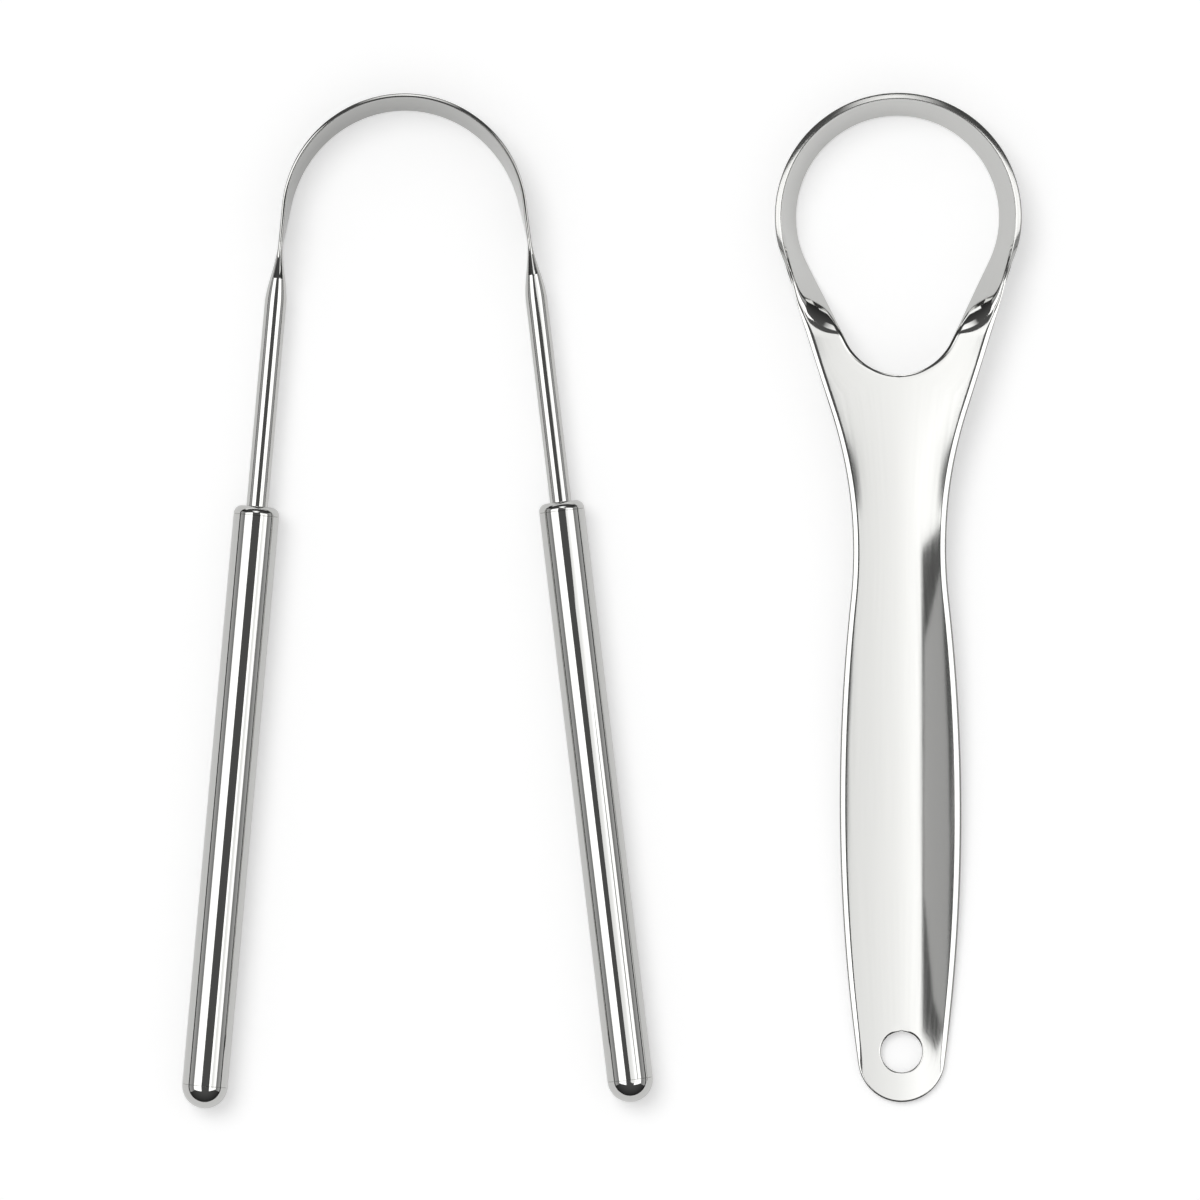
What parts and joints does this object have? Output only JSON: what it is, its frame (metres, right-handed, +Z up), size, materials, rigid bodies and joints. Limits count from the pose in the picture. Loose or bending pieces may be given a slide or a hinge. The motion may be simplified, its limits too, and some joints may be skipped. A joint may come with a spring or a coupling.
{
  "type": "tongue scraper set",
  "caption": "Stainless steel tongue scraper set: a sprung raked bow on tubular handles, and a pressed loop with a dished ring and a crowned handle with a hanging hole.",
  "frame": {"origin": "centre of the set's footprint, on the table that both scrapers lie on", "axes": "+Z up from the table, +Y from the handles towards the bow and the ring, +X from the sprung scraper to the loop scraper"},
  "size_m": [0.1204, 0.1458, 0.0066],
  "materials": {
    "polished_bar_steel": "mirror polished bar and tube",
    "polished_band_steel": "mirror polished flattened rod",
    "polished_sheet_steel": "mirror polished pressed sheet"
  },
  "bodies": {
    "bow": {"blade_band": "polished_band_steel"},
    "left_arm": {"left_rod": "polished_bar_steel", "left_collar": "polished_bar_steel", "left_handle_tube": "polished_bar_steel", "left_end_plug": "polished_bar_steel"},
    "right_arm": {"right_rod": "polished_bar_steel", "right_collar": "polished_bar_steel", "right_handle_tube": "polished_bar_steel", "right_end_plug": "polished_bar_steel"},
    "loop": {"loop_scraper": "polished_sheet_steel"}
  },
  "joints": [
    {"name": "left_arm_flex", "type": "hinge", "parent": "bow", "child": "left_arm", "pos_m": [-0.04021, 0.06458, 0.0033], "axis": [0, 0, 1], "range_deg": [-8, 8], "stiffness_Nm_per_rad": 0.75, "deforming": ["blade_band"]},
    {"name": "right_arm_flex", "type": "hinge", "parent": "bow", "child": "right_arm", "pos_m": [-0.01662, 0.06493, 0.0033], "axis": [0, 0, -1], "range_deg": [-8, 8], "stiffness_Nm_per_rad": 0.75, "deforming": ["blade_band"]},
    {"name": "loop_lift", "type": "slide", "parent": "bow", "child": "loop", "axis": [0, 0, 1], "range_m": [0, 0.05]}
  ]
}
